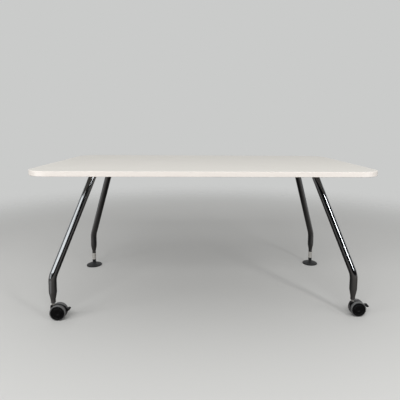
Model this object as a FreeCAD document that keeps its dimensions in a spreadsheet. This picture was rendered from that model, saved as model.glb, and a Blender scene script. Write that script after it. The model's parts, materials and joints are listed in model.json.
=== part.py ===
"""Mobile desk: a laminate top on four splayed tube legs, two on castors and two on screw glides.

Millimetres. The floor is z = 0 and the origin lies on it under the middle of the top. X runs along
the desk, Y across it, and the castors stand on the -Y side, which is called the front.
"""
import FreeCAD, Part
import math
import os
from types import SimpleNamespace

import Sketcher
from FreeCAD import Placement, Rotation, Vector

# Driving dimensions, in millimetres and degrees
SIZES = {
    "top_length": 1600,
    "top_depth": 900,
    "top_height": 720,
    "core_thickness": 22,
    "laminate_thickness": 0.6,
    "band_thickness": 3,
    "band_rounding": 1.5,
    "corner_radius": 110,
    "foot_x": 720,
    "foot_y": 345,
    "splay_angle": 45,
    "lean_angle": 25.7,
    "knee_height": 206,
    "bend_radius": 100,
    "tube_diameter": 32,
    "tube_wall": 2,
    "swage_top": 142,
    "shoulder_height": 133,
    "neck_height": 97,
    "swage_rounding": 60,
    "neck_diameter": 18,
    "leg_end": 82,
    "plate_width": 112,
    "plate_thickness": 6,
    "plate_rounding": 16,
    "boss_diameter": 43,
    "boss_length": 30,
    "cast_rounding": 2,
    "rib_thickness": 6,
    "rib_reach": 46,
    "hole_pitch": 82,
    "screw_diameter": 6,
    "screw_head": 12,
    "screw_head_height": 4,
    "screw_length": 17,
    "insert_diameter": 9,
    "insert_length": 12.6,
    "clamp_diameter": 8,
    "clamp_length": 9,
    "clamp_socket": 4.6,
    "clamp_distance": 17,
    "bush_length": 30,
    "stem_diameter": 8,
    "stem_bottom": 44,
    "collar_diameter": 16,
    "collar_bottom": 71.2,
    "washer_thickness": 0.8,
    "edge_break": 1,
    "wheel_diameter": 75,
    "wheel_width": 14.4,
    "wheel_bevel": 1.2,
    "wheel_face": 3,
    "cap_diameter": 46,
    "cap_groove": 1.2,
    "dimple_diameter": 16,
    "dimple_depth": 0.6,
    "hub_diameter": 19,
    "rim_thickness": 3,
    "spoke_count": 6,
    "spoke_thickness": 2,
    "spoke_inset": 1.5,
    "tread_thickness": 4.5,
    "tread_rounding": 3,
    "castor_trail": 24,
    "castor_body_thickness": 14,
    "castor_body_top": 70.2,
    "castor_body_lead": 13,
    "castor_body_rounding": 1.5,
    "castor_body_corner": 4.4,
    "axle_boss": 13,
    "wheel_gap": 0.6,
    "axle_diameter": 6,
    "brake_pin_diameter": 4,
    "brake_pin_x": 46,
    "brake_pin_z": 50,
    "brake_arm_height": 10,
    "brake_arm_thickness": 7,
    "brake_arm_rounding": 4.5,
    "brake_slot": 8,
    "pedal_width": 26,
    "pedal_front": 65,
    "pedal_back": 77,
    "pedal_lip_rise": 2,
    "pedal_lip_drop": 3,
    "pedal_rounding": 2,
    "stud_diameter": 10,
    "stud_length": 40,
    "stud_grip": 12,
    "barrel_diameter": 23.5,
    "barrel_bottom": 41,
    "pivot_diameter": 12,
    "pivot_length": 18,
    "foot_diameter": 95,
    "foot_edge": 5,
    "foot_dome": 13.6,
    "foot_crown": 17,
    "foot_crown_rounding": 40,
    "foot_neck_diameter": 21,
    "foot_neck_rounding": 6,
    "pad_diameter": 86,
    "pad_thickness": 3,
    "pad_proud": 0.8,
    "running_clearance": 0.05,
    "seat_clearance": 0.01,
    "end_clearance": 0.3,
}

# Where the legs stand: the signs of x and y
CORNERS = {
    "front_left": (-1, -1),
    "front_right": (1, -1),
    "rear_left": (-1, 1),
    "rear_right": (1, 1),
}
SIDES = {"left": -1, "right": 1}

# Lengths that differ by less than this are taken as equal
TOLERANCE = 1e-4


class Size:
    """A number that keeps the spreadsheet formula it came from."""

    def __init__(self, value, formula):
        self.value = value
        self.formula = formula

    def __add__(self, other):
        other = as_size(other)
        return Size(self.value + other.value, f"({self.formula} + {other.formula})")

    def __sub__(self, other):
        other = as_size(other)
        return Size(self.value - other.value, f"({self.formula} - {other.formula})")

    def __mul__(self, other):
        other = as_size(other)
        return Size(self.value * other.value, f"({self.formula} * {other.formula})")

    def __truediv__(self, other):
        other = as_size(other)
        return Size(self.value / other.value, f"({self.formula} / {other.formula})")

    def __neg__(self):
        return Size(-self.value, f"(-{self.formula})")


def as_size(number):
    return number if isinstance(number, Size) else Size(number, f"({number})")


def sine(angle):
    return Size(math.sin(math.radians(angle.value)), f"sin({angle.formula})")


def cosine(angle):
    return Size(math.cos(math.radians(angle.value)), f"cos({angle.formula})")


def fill_sheet():
    """Put the driving dimensions in a spreadsheet and return them as Sizes."""
    sheet = doc.addObject("Spreadsheet::Sheet", "Sizes")
    for row, (name, number) in enumerate(SIZES.items(), start=1):
        sheet.set(f"A{row}", name)
        sheet.set(f"B{row}", str(number))
        sheet.setAlias(f"B{row}", name)
    doc.recompute()
    return SimpleNamespace(**{name: Size(sheet.get(name), f"Sizes.{name}") for name in SIZES})


doc = FreeCAD.newDocument("MobileDesk")
sizes = fill_sheet()

# Levels and places that several pieces share
top_thickness = sizes.core_thickness + sizes.laminate_thickness * 2
underside = sizes.top_height - top_thickness
lean_slope = sine(sizes.lean_angle) / cosine(sizes.lean_angle)
splay = (underside - sizes.knee_height) * lean_slope
head_x = sizes.foot_x - splay * cosine(sizes.splay_angle)
head_y = sizes.foot_y - splay * sine(sizes.splay_angle)
tube_radius = sizes.tube_diameter / 2
neck_bore = sizes.neck_diameter / 2 - sizes.tube_wall
wheel_radius = sizes.wheel_diameter / 2
rim_radius = wheel_radius - sizes.tread_thickness
wheel_plane = sizes.castor_body_thickness / 2 + sizes.wheel_gap
barrel_top = sizes.leg_end - sizes.end_clearance


# Sketches and features

def new_body(label):
    body = doc.addObject("PartDesign::Body", label)
    body.Label = label
    return body


def put(piece, x, y, z, rotation=Rotation()):
    """Place a finished piece; its position follows the sheet."""
    piece.Placement = Placement(Vector(), rotation)
    for axis, coordinate in zip("xyz", (x, y, z)):
        piece.setExpression(f"Placement.Base.{axis}", as_size(coordinate).formula)
    doc.recompute()
    return piece


def new_sketch(body, role, lift=None):
    """A sketch on one of the body's own origin planes, lifted along that plane's normal."""
    sketch = body.newObject("Sketcher::SketchObject", f"{body.Name}_sketch")
    plane = next(feature for feature in body.Origin.OriginFeatures if feature.Role == role)
    sketch.AttachmentSupport = (plane, [""])
    sketch.MapMode = "FlatFace"
    if lift is not None:
        sketch.setExpression("AttachmentOffset.Base.z", as_size(lift).formula)
    return sketch


def hold(sketch, kind, geometry, size):
    """Add a dimension and bind it to the sheet."""
    constraint = sketch.addConstraint(Sketcher.Constraint(kind, *geometry, size.value))
    sketch.setExpression(f"Constraints[{constraint}]", size.formula)


def pin(sketch, geometry, point, x, y):
    """Fix one point of the sketch by its two coordinates."""
    for kind, axis, coordinate in (("DistanceX", -2, as_size(x)), ("DistanceY", -1, as_size(y))):
        if coordinate.value == 0:
            sketch.addConstraint(Sketcher.Constraint("PointOnObject", geometry, point, axis))
        else:
            hold(sketch, kind, (-1, 1, geometry, point), coordinate)


def circle(sketch, x, y, radius):
    centre = Vector(as_size(x).value, as_size(y).value, 0)
    index = sketch.addGeometry(Part.Circle(centre, Vector(0, 0, 1), radius.value))
    hold(sketch, "Radius", (index,), radius)
    pin(sketch, index, 3, x, y)


def rectangle(sketch, left, right, bottom, top):
    outline(sketch, [(left, bottom), (right, bottom), (right, top), (left, top)])


def outline(sketch, corners, closed=True):
    """Lines through the corners (x, y) or (x, y, radius); a corner with a radius is rounded."""
    corners = [tuple(as_size(number) for number in corner) for corner in corners]
    points = [Vector(corner[0].value, corner[1].value, 0) for corner in corners]
    count = len(corners)
    arcs = {}
    for index, corner in enumerate(corners):
        if len(corner) == 3:
            following = points[(index + 1) % count]
            arcs[index] = corner_arc(points[index - 1], points[index], following, corner[2].value)
    lines = []
    for index in range(count if closed else count - 1):
        after = (index + 1) % count
        start = arcs[index].leave if index in arcs else points[index]
        end = arcs[after].enter if after in arcs else points[after]
        lines.append(sketch.addGeometry(Part.LineSegment(start, end)))
    for index, corner in enumerate(corners):
        before = lines[index - 1] if closed or index > 0 else None
        after = lines[index] if index < len(lines) else None
        if index in arcs:
            round_corner(sketch, arcs[index], before, after, corner)
        elif after is None:
            pin(sketch, before, 2, corner[0], corner[1])
        else:
            pin(sketch, after, 1, corner[0], corner[1])
            if before is not None:
                sketch.addConstraint(Sketcher.Constraint("Coincident", before, 2, after, 1))


def corner_arc(previous, corner, following, radius):
    """The arc that rounds a corner, with its ends and the order in which they come."""
    towards = (corner - previous).normalize()
    away = (following - corner).normalize()
    reach = radius * math.tan(towards.getAngle(away) / 2)
    enter = corner - towards * reach
    leave = corner + away * reach
    left = towards.cross(away).z > 0
    inward = Vector(-towards.y, towards.x, 0) * (radius if left else -radius)
    whole = Part.Circle(enter + inward, Vector(0, 0, 1), radius)
    first, last = (enter, leave) if left else (leave, enter)
    arc = Part.ArcOfCircle(whole, whole.parameter(first), whole.parameter(last))
    ends = (1, 2) if left else (2, 1)
    return SimpleNamespace(arc=arc, enter=enter, leave=leave, ends=ends, corner=corner)


def round_corner(sketch, rounding, before, after, corner):
    """Join two lines by a tangent arc; a construction point keeps the sharp corner's place."""
    arc = sketch.addGeometry(rounding.arc)
    sharp = sketch.addGeometry(Part.Point(rounding.corner), True)
    pin(sketch, sharp, 1, corner[0], corner[1])
    sketch.addConstraint(Sketcher.Constraint("Tangent", before, 2, arc, rounding.ends[0]))
    sketch.addConstraint(Sketcher.Constraint("Tangent", arc, rounding.ends[1], after, 1))
    sketch.addConstraint(Sketcher.Constraint("PointOnObject", sharp, 1, before))
    sketch.addConstraint(Sketcher.Constraint("PointOnObject", sharp, 1, after))
    hold(sketch, "Radius", (arc,), corner[2])


def feature_of(sketch, kind):
    feature = sketch.getParentGeoFeatureGroup().newObject(f"PartDesign::{kind}", kind)
    feature.Profile = sketch
    return feature


def pad(sketch, length, symmetric=False):
    feature = feature_of(sketch, "Pad")
    feature.SideType = "Symmetric" if symmetric else "One side"
    feature.setExpression("Length", length.formula)
    doc.recompute()
    return feature


def pocket(sketch, depth, reverse=False, symmetric=False):
    """Cut a sketch's outline out of its body, against the sketch's normal unless reversed."""
    body = sketch.getParentGeoFeatureGroup()
    volume = body.Shape.Volume
    feature = feature_of(sketch, "Pocket")
    feature.SideType = "Symmetric" if symmetric else "One side"
    feature.Reversed = reverse
    feature.setExpression("Length", depth.formula)
    doc.recompute()
    if body.Shape.Volume >= volume:
        raise ValueError(f"{body.Label}: a pocket cut nothing")


def revolve(sketch):
    feature = feature_of(sketch, "Revolution")
    feature.ReferenceAxis = (sketch, ["V_Axis"])
    feature.Angle = 360
    doc.recompute()


def turned(label, corners):
    """A piece turned about its own Z axis; the corners are (radius, height)."""
    body = new_body(label)
    sketch = new_sketch(body, "XZ_Plane")
    outline(sketch, corners)
    revolve(sketch)
    return body


def tube(label, inner, outer, bottom, top):
    return turned(label, [(inner, bottom), (outer, bottom), (outer, top), (inner, top)])


def fillet(body, radius, chosen):
    """Round the edges of a body for which chosen(edge) is true."""
    base = body.Tip
    names = [f"Edge{number}" for number, edge in enumerate(base.Shape.Edges, start=1) if chosen(edge)]
    feature = body.newObject("PartDesign::Fillet", "Fillet")
    feature.Base = (base, names)
    feature.setExpression("Radius", radius.formula)
    doc.recompute()


def same(one, other):
    return abs(one - other) < TOLERANCE


def group(label, pattern, places):
    """One node of identical fasteners: a solid at each place, copied from the pattern."""
    copies = []
    for place in places:
        solid = pattern.Shape.copy()
        solid.Placement = place
        copies.append(solid)
    node = doc.addObject("Part::Feature", label)
    node.Label = label
    node.Shape = Part.makeCompound(copies)
    return node


# The top

def slab(sketch, inset):
    """The top's outline, drawn in by an inset."""
    half_length = sizes.top_length / 2 - inset
    half_depth = sizes.top_depth / 2 - inset
    radius = sizes.corner_radius - inset
    outline(sketch, [
        (half_length, -half_depth, radius),
        (half_length, half_depth, radius),
        (-half_length, half_depth, radius),
        (-half_length, -half_depth, radius),
    ])


def insert_places():
    """The bracket screws' centres in plan, four round the head of each leg."""
    reach = sizes.hole_pitch / 2 / sine(sizes.splay_angle)
    places = []
    for x_side, y_side in CORNERS.values():
        for x_step, y_step in ((1, 0), (0, 1), (-1, 0), (0, -1)):
            places.append((head_x * x_side + reach * x_step, head_y * y_side + reach * y_step))
    return places


def make_layer(label, thickness, z, hole_depth=None):
    """One flat layer of the top, with holes for the screw inserts in its underside if asked."""
    body = new_body(label)
    face = new_sketch(body, "XY_Plane")
    slab(face, sizes.band_thickness)
    pad(face, thickness)
    if hole_depth is not None:
        holes = new_sketch(body, "XY_Plane")
        for x, y in insert_places():
            circle(holes, x, y, sizes.insert_diameter / 2 + sizes.seat_clearance)
        pocket(holes, hole_depth, reverse=True)
    return put(body, 0, 0, z)


def make_edge_band():
    body = new_body("edge_band")
    ring = new_sketch(body, "XY_Plane")
    slab(ring, as_size(0))
    slab(ring, sizes.band_thickness)
    pad(ring, top_thickness)
    whole = body.Shape.BoundBox

    def outer_rim(edge):
        box = edge.BoundBox
        outside = (same(box.XMin, whole.XMin) or same(box.XMax, whole.XMax)
                   or same(box.YMin, whole.YMin) or same(box.YMax, whole.YMax))
        return outside and box.ZLength < whole.ZLength / 2

    fillet(body, sizes.band_rounding, outer_rim)
    return put(body, 0, 0, underside)


def make_top():
    """Chipboard core between two laminates, with a band round its edge."""
    laminate = sizes.laminate_thickness
    core_z = underside + laminate
    return [
        make_layer("top_board", sizes.core_thickness, core_z, sizes.insert_length - laminate),
        make_layer("backing_laminate", laminate, underside, laminate),
        make_layer("top_laminate", laminate, core_z + sizes.core_thickness),
        make_edge_band(),
    ]


# Legs and their brackets

def outward(x_side, y_side):
    """The turn about Z that points a leg's own +X axis away from the middle of the desk."""
    return Rotation(Vector(0, 0, 1), math.degrees(math.atan2(y_side, x_side)))


def make_leg(corner):
    """A chromed tube: a sloping run, a bend above the foot, and an end swaged down to a neck."""
    x_side, y_side = CORNERS[corner]
    body = new_body(f"{corner}_leg")
    overshoot = underside + tube_radius
    path = new_sketch(body, "XZ_Plane")
    outline(path, [
        (0, sizes.swage_top),
        (0, sizes.knee_height, sizes.bend_radius),
        (-(overshoot - sizes.knee_height) * lean_slope, overshoot),
    ], closed=False)
    ring = new_sketch(body, "XY_Plane", sizes.swage_top)
    circle(ring, 0, 0, tube_radius)
    circle(ring, 0, 0, tube_radius - sizes.tube_wall)
    pipe = feature_of(ring, "AdditivePipe")
    pipe.Spine = (path, ["Edge1", "Edge3", "Edge2"])
    doc.recompute()
    swage = new_sketch(body, "XZ_Plane")
    wall = sizes.tube_wall
    neck_radius = sizes.neck_diameter / 2
    outline(swage, [
        (neck_bore, sizes.leg_end),
        (neck_radius, sizes.leg_end),
        (neck_radius, sizes.neck_height, sizes.swage_rounding),
        (tube_radius, sizes.shoulder_height, sizes.swage_rounding),
        (tube_radius, sizes.swage_top),
        (tube_radius - wall, sizes.swage_top),
        (tube_radius - wall, sizes.shoulder_height, sizes.swage_rounding),
        (neck_bore, sizes.neck_height, sizes.swage_rounding),
    ])
    revolve(swage)
    # The upper end is cut flush with the underside of the top
    margin = sizes.tube_diameter
    mitre = new_sketch(body, "XY_Plane", underside)
    rectangle(mitre, -splay - margin * 2, tube_radius, -margin, margin)
    pocket(mitre, margin * 2, reverse=True)
    return put(body, sizes.foot_x * x_side, sizes.foot_y * y_side, 0, outward(x_side, y_side))


def tilt(sketch):
    """Turn a sketch square to the leg, with its origin at the outer end of the bracket's boss."""
    lean = sizes.lean_angle
    boss = sizes.boss_length
    sketch.AttachmentOffset = Placement(Vector(), Rotation(Vector(0, 1, 0), -lean.value))
    sketch.setExpression("AttachmentOffset.Base.x", (boss * sine(lean)).formula)
    sketch.setExpression("AttachmentOffset.Base.z", (-(boss * cosine(lean))).formula)
    sketch.setExpression("AttachmentOffset.Rotation.Angle", (-lean).formula)
    return sketch


def make_bracket(corner):
    """Die-cast bracket: a screwed plate, a boss along the leg and ribs between them."""
    x_side, y_side = CORNERS[corner]
    body = new_body(f"{corner}_bracket")
    half = sizes.plate_width / 2
    plate = new_sketch(body, "XY_Plane", -sizes.plate_thickness)
    outline(plate, [
        (half, -half, sizes.plate_rounding),
        (half, half, sizes.plate_rounding),
        (-half, half, sizes.plate_rounding),
        (-half, -half, sizes.plate_rounding),
    ])
    pad(plate, sizes.plate_thickness)
    boss = tilt(new_sketch(body, "XY_Plane"))
    circle(boss, 0, 0, sizes.boss_diameter / 2)
    pad(boss, sizes.boss_length + sizes.boss_diameter / 2)
    round_casting(body)
    # The ribs end inside the boss, short of its rounded rim
    rib_length = sizes.boss_length - sizes.cast_rounding
    rib_end = rib_length * cosine(sizes.lean_angle)
    side_ribs = new_sketch(body, "YZ_Plane", sizes.boss_length * sine(sizes.lean_angle) / 2)
    outline(side_ribs, [
        (-sizes.rib_reach, -sizes.plate_thickness / 2),
        (0, -rib_end),
        (sizes.rib_reach, -sizes.plate_thickness / 2),
    ])
    pad(side_ribs, sizes.rib_thickness, symmetric=True)
    outer_rib = new_sketch(body, "XZ_Plane")
    outline(outer_rib, [
        (0, -sizes.plate_thickness / 2),
        (rib_length * sine(sizes.lean_angle), -rib_end),
        (sizes.rib_reach, -sizes.plate_thickness / 2),
    ])
    pad(outer_rib, sizes.rib_thickness, symmetric=True)
    # The boss is cut flush with the plate, then bored for the tube
    flush = new_sketch(body, "XY_Plane")
    rectangle(flush, -half, half, -half, half)
    pocket(flush, sizes.boss_diameter, reverse=True)
    bore = tilt(new_sketch(body, "XY_Plane"))
    circle(bore, 0, 0, tube_radius + sizes.seat_clearance)
    pocket(bore, sizes.boss_length * 2, reverse=True)
    drill_clamp_hole(body)
    holes = new_sketch(body, "XY_Plane")
    place = sizes.hole_pitch / 2
    radius = sizes.screw_diameter / 2 + sizes.running_clearance
    for x_step in (-1, 1):
        for y_step in (-1, 1):
            circle(holes, place * x_step, place * y_step, radius)
    pocket(holes, sizes.plate_thickness)
    return put(body, head_x * x_side, head_y * y_side, underside, outward(x_side, y_side))


def round_casting(body):
    """Round the plate's lower rim and the rim of the boss's outer end."""
    plate_level = -sizes.plate_thickness.value
    plate_side = sizes.plate_width.value / 2
    boss_level = body.Shape.BoundBox.ZMin

    def is_rim(edge):
        box = edge.BoundBox
        on_plate = same(box.ZMin, plate_level) and same(box.ZMax, plate_level)
        outermost = max(abs(box.XMin), abs(box.XMax), abs(box.YMin), abs(box.YMax))
        return on_plate and same(outermost, plate_side) or same(box.ZMin, boss_level)

    fillet(body, sizes.cast_rounding, is_rim)


def drill_clamp_hole(body):
    """Drill square to the leg, from its axis out through the boss's inner side, for the clamp screw."""
    lean = sizes.lean_angle
    distance = sizes.clamp_distance
    drill = new_sketch(body, "YZ_Plane")
    drill.AttachmentOffset = Placement(Vector(), Rotation(Vector(1, 0, 0), -lean.value))
    drill.setExpression("AttachmentOffset.Base.y", (-(distance * cosine(lean))).formula)
    drill.setExpression("AttachmentOffset.Base.z", (distance * sine(lean)).formula)
    drill.setExpression("AttachmentOffset.Rotation.Angle", (-lean).formula)
    circle(drill, 0, 0, sizes.clamp_diameter / 2 + sizes.seat_clearance)
    pocket(drill, sizes.boss_diameter)


def make_fasteners():
    """The bracket screws and their inserts, and the screw that clamps each leg."""
    half_screw = sizes.screw_diameter / 2
    screw = turned("screw_pattern", [
        (0, -sizes.screw_head_height),
        (sizes.screw_head / 2, -sizes.screw_head_height, sizes.edge_break),
        (sizes.screw_head / 2, 0),
        (half_screw, 0),
        (half_screw, sizes.screw_length),
        (0, sizes.screw_length),
    ])
    insert = tube("insert_pattern", half_screw + sizes.running_clearance, sizes.insert_diameter / 2,
                  as_size(0), sizes.insert_length)
    clamp = turned("clamp_pattern", [
        (sizes.clamp_socket / 2, 0),
        (sizes.clamp_diameter / 2, 0),
        (sizes.clamp_diameter / 2, sizes.clamp_length),
        (0, sizes.clamp_length),
        (0, sizes.clamp_length / 2),
        (sizes.clamp_socket / 2, sizes.clamp_length / 2),
    ])
    return [
        group("bracket_screws", screw, upright_places(underside - sizes.plate_thickness)),
        group("threaded_inserts", insert, upright_places(underside)),
        group("leg_clamp_screws", clamp, [clamp_place(*signs) for signs in CORNERS.values()]),
    ]


def upright_places(z):
    """The bracket screws' places at one level."""
    return [Placement(Vector(x.value, y.value, z.value), Rotation()) for x, y in insert_places()]


def clamp_place(x_side, y_side):
    """A clamp screw's place: its tip against the tube, its axis square to the leg."""
    lean = sizes.lean_angle.value
    bracket = Placement(Vector(head_x.value * x_side, head_y.value * y_side, underside.value),
                        outward(x_side, y_side))
    square = Placement(Vector(), Rotation(Vector(0, 1, 0), 90 - lean))
    start = -(tube_radius + sizes.running_clearance + sizes.clamp_length).value
    along = Placement(Vector(sizes.clamp_distance.value, 0, start), Rotation())
    return bracket.multiply(square).multiply(along)


# Castors

def make_castor(side):
    """One swivel castor: its parts stand on the foot's axis and trail towards +X."""
    x = sizes.foot_x * SIDES[side]
    y = -sizes.foot_y
    axle_x = x + sizes.castor_trail
    pin_x = x + sizes.brake_pin_x
    crosswise = Rotation(Vector(1, 0, 0), 90)
    half_body = sizes.castor_body_thickness / 2
    axle_reach = wheel_plane + sizes.wheel_width - sizes.wheel_face - sizes.end_clearance
    axle = make_pin(f"{side}_castor_axle", sizes.axle_diameter / 2, axle_reach * 2)
    brake_pin = make_pin(f"{side}_brake_pin", sizes.brake_pin_diameter / 2, sizes.castor_body_thickness)
    pieces = [
        put(make_stem(f"{side}_castor_stem"), x, y, 0),
        put(make_collar(f"{side}_castor_collar"), x, y, 0),
        put(make_washer(f"{side}_swivel_washer"), x, y, 0),
        put(make_castor_body(f"{side}_castor_body"), x, y, 0),
        put(axle, axle_x, y + axle_reach, wheel_radius, crosswise),
        put(make_brake_lever(f"{side}_brake_lever"), x, y, 0),
        put(brake_pin, pin_x, y + half_body, sizes.brake_pin_z, crosswise),
    ]
    for name, sign in (("front", -1), ("back", 1)):
        facing = Rotation(Vector(1, 0, 0), -90 * sign)
        wheel_y = y + wheel_plane * sign
        pieces.append(put(make_wheel(f"{side}_{name}_wheel"), axle_x, wheel_y, wheel_radius, facing))
        pieces.append(put(make_tread(f"{side}_{name}_tread"), axle_x, wheel_y, wheel_radius, facing))
    return pieces


def make_pin(label, radius, length):
    """A plain pin with broken edges, standing on its own origin."""
    bevel = sizes.edge_break / 2
    return turned(label, [
        (0, 0), (radius - bevel, 0), (radius, bevel),
        (radius, length - bevel), (radius - bevel, length), (0, length),
    ])


def make_stem(label):
    radius = sizes.stem_diameter / 2
    top = sizes.leg_end + sizes.bush_length
    bevel = sizes.edge_break
    return turned(label, [
        (0, sizes.stem_bottom), (radius - bevel, sizes.stem_bottom), (radius, sizes.stem_bottom + bevel),
        (radius, top - bevel), (radius - bevel, top), (0, top),
    ])


def make_collar(label):
    bore = sizes.stem_diameter / 2 + sizes.seat_clearance
    radius = sizes.collar_diameter / 2
    bevel = sizes.edge_break
    return turned(label, [
        (bore, sizes.collar_bottom), (radius - bevel, sizes.collar_bottom),
        (radius, sizes.collar_bottom + bevel), (radius, sizes.leg_end - bevel),
        (radius - bevel, sizes.leg_end), (bore, sizes.leg_end),
    ])


def make_washer(label):
    bottom = sizes.collar_bottom - sizes.washer_thickness
    bore = sizes.stem_diameter / 2 + sizes.running_clearance
    return tube(label, bore, sizes.collar_diameter / 2, bottom, sizes.collar_bottom)


def make_castor_body(label):
    """The moulding between the wheels: swivel boss in front, axle boss below, brake slot behind."""
    body = new_body(label)
    top = sizes.castor_body_top
    lead = -sizes.castor_body_lead
    axle_x = sizes.castor_trail
    boss = sizes.axle_boss
    pin_x = sizes.brake_pin_x
    pin_z = sizes.brake_pin_z
    corner = sizes.castor_body_corner
    side = new_sketch(body, "XZ_Plane")
    outline(side, [
        (lead, top, corner),
        (lead, wheel_radius + boss, boss),
        (axle_x - boss, wheel_radius - boss, boss),
        (axle_x + boss, wheel_radius - boss, boss),
        (pin_x + boss, wheel_radius, corner),
        (pin_x + boss, pin_z + boss / 2, boss),
        (axle_x + boss, top, boss),
    ])
    pad(side, sizes.castor_body_thickness, symmetric=True)
    fillet(body, sizes.castor_body_rounding, lambda edge: same(edge.BoundBox.YLength, 0))
    slot = new_sketch(body, "XZ_Plane")
    slot_front = pin_x - sizes.brake_arm_height
    rectangle(slot, slot_front, sizes.pedal_back, wheel_radius - boss, top - boss / 2)
    pocket(slot, sizes.brake_slot, symmetric=True)
    stem_hole = new_sketch(body, "XY_Plane", top)
    circle(stem_hole, 0, 0, sizes.stem_diameter / 2 + sizes.running_clearance)
    pocket(stem_hole, top - sizes.stem_bottom + sizes.end_clearance)
    cross_holes = new_sketch(body, "XZ_Plane")
    circle(cross_holes, axle_x, wheel_radius, sizes.axle_diameter / 2 + sizes.seat_clearance)
    circle(cross_holes, pin_x, pin_z, sizes.brake_pin_diameter / 2 + sizes.seat_clearance)
    pocket(cross_holes, sizes.castor_body_thickness * 2, symmetric=True)
    return body


def make_brake_lever(label):
    """A T-shaped lever: an arm between the wheels and a pedal across behind them."""
    body = new_body(label)
    pin_x = sizes.brake_pin_x
    pin_z = sizes.brake_pin_z
    half = sizes.brake_arm_height / 2
    round_end = sizes.brake_arm_rounding
    arm = new_sketch(body, "XZ_Plane")
    outline(arm, [
        (pin_x - half, pin_z + half, round_end),
        (pin_x - half, pin_z - half, round_end),
        (sizes.pedal_front + half, pin_z - half),
        (sizes.pedal_front + half, pin_z + half),
    ])
    pad(arm, sizes.brake_arm_thickness, symmetric=True)
    pedal = new_sketch(body, "XZ_Plane")
    outline(pedal, [
        (sizes.pedal_front, pin_z + half, sizes.pedal_rounding),
        (sizes.pedal_front, pin_z - half, sizes.pedal_rounding),
        (sizes.pedal_back, pin_z - sizes.pedal_lip_drop, sizes.pedal_rounding),
        (sizes.pedal_back, pin_z + sizes.pedal_lip_rise, sizes.pedal_rounding),
    ])
    pad(pedal, sizes.pedal_width, symmetric=True)
    half_width = (sizes.pedal_width / 2).value
    fillet(body, sizes.edge_break, lambda edge: same(abs(edge.BoundBox.YMin), half_width)
           and same(abs(edge.BoundBox.YMax), half_width) and same(edge.BoundBox.YLength, 0))
    hole = new_sketch(body, "XZ_Plane")
    circle(hole, pin_x, pin_z, sizes.brake_pin_diameter / 2 + sizes.running_clearance)
    pocket(hole, sizes.pedal_width, symmetric=True)
    return body


def make_wheel(label):
    """A moulded wheel about Z: a face with a grooved cap, a hub and a rim, with spokes on the inner side."""
    width = sizes.wheel_width
    floor = width - sizes.wheel_face
    bore = sizes.axle_diameter / 2 + sizes.running_clearance
    hub = sizes.hub_diameter / 2
    rim_inside = rim_radius - sizes.rim_thickness
    cap = sizes.cap_diameter / 2
    groove = sizes.cap_groove
    dimple = sizes.dimple_diameter / 2
    dimple_floor = width - sizes.dimple_depth
    body = turned(label, [
        (bore, 0), (hub, 0), (hub, floor), (rim_inside, floor), (rim_inside, 0), (rim_radius, 0),
        (rim_radius, width - sizes.wheel_bevel), (cap + groove, width), (cap + groove, width - groove),
        (cap, width - groove), (cap, width), (dimple, width), (dimple, dimple_floor), (0, dimple_floor),
        (0, floor), (bore, floor),
    ])
    spoke_sketch = new_sketch(body, "XY_Plane", sizes.spoke_inset)
    half = sizes.spoke_thickness / 2
    rectangle(spoke_sketch, hub - half, rim_inside + half, -half, half)
    spoke = pad(spoke_sketch, floor - sizes.spoke_inset)
    ring = body.newObject("PartDesign::PolarPattern", "PolarPattern")
    ring.Originals = [spoke]
    ring.Axis = (spoke_sketch, ["N_Axis"])
    ring.Angle = 360
    ring.setExpression("Occurrences", sizes.spoke_count.formula)
    body.Tip = ring
    doc.recompute()
    return body


def make_tread(label):
    inner = rim_radius + sizes.seat_clearance
    edge = sizes.wheel_width - sizes.wheel_bevel
    return turned(label, [
        (inner, 0), (wheel_radius, 0, sizes.tread_rounding),
        (wheel_radius, edge, sizes.tread_rounding), (inner, edge),
    ])


# Glides

def make_glide(side):
    """One screw glide: a barrel and stud that turn, and a disc foot that stays put on its pad."""
    x = sizes.foot_x * SIDES[side]
    y = sizes.foot_y
    return [put(make(f"{side}_{name}"), x, y, 0) for name, make in (
        ("glide_stud", make_stud),
        ("glide_barrel", make_barrel),
        ("glide_foot", make_foot),
        ("glide_pad", make_pad),
    )]


def make_stud(label):
    radius = sizes.stud_diameter / 2
    bottom = barrel_top - sizes.stud_grip
    top = bottom + sizes.stud_length
    bevel = sizes.edge_break
    return turned(label, [
        (0, bottom), (radius, bottom), (radius, top - bevel), (radius - bevel, top), (0, top),
    ])


def make_barrel(label):
    radius = sizes.barrel_diameter / 2
    pivot = sizes.pivot_diameter / 2
    bottom = sizes.barrel_bottom
    bevel = sizes.edge_break
    bore = sizes.stud_diameter / 2 + sizes.seat_clearance
    return turned(label, [
        (0, bottom - sizes.pivot_length), (pivot, bottom - sizes.pivot_length), (pivot, bottom),
        (radius - bevel, bottom), (radius, bottom + bevel),
        (radius, barrel_top - bevel), (radius - bevel, barrel_top),
        (bore, barrel_top), (bore, barrel_top - sizes.stud_grip), (0, barrel_top - sizes.stud_grip),
    ])


def make_foot(label):
    """A low domed disc with a neck; the barrel's pivot turns in the neck and the pad sits below."""
    radius = sizes.foot_diameter / 2
    neck = sizes.foot_neck_diameter / 2
    socket = sizes.pivot_diameter / 2 + sizes.running_clearance
    neck_top = sizes.barrel_bottom - sizes.end_clearance
    socket_floor = sizes.barrel_bottom - sizes.pivot_length - sizes.end_clearance
    recess = sizes.pad_diameter / 2 + sizes.seat_clearance
    return turned(label, [
        (0, sizes.pad_thickness), (recess, sizes.pad_thickness), (recess, sizes.pad_proud),
        (radius, sizes.pad_proud), (radius, sizes.foot_edge, sizes.edge_break),
        ((radius + neck) / 2, sizes.foot_dome, sizes.foot_crown_rounding),
        (neck, sizes.foot_crown, sizes.foot_neck_rounding),
        (neck, neck_top), (socket, neck_top), (socket, socket_floor), (0, socket_floor),
    ])


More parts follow.
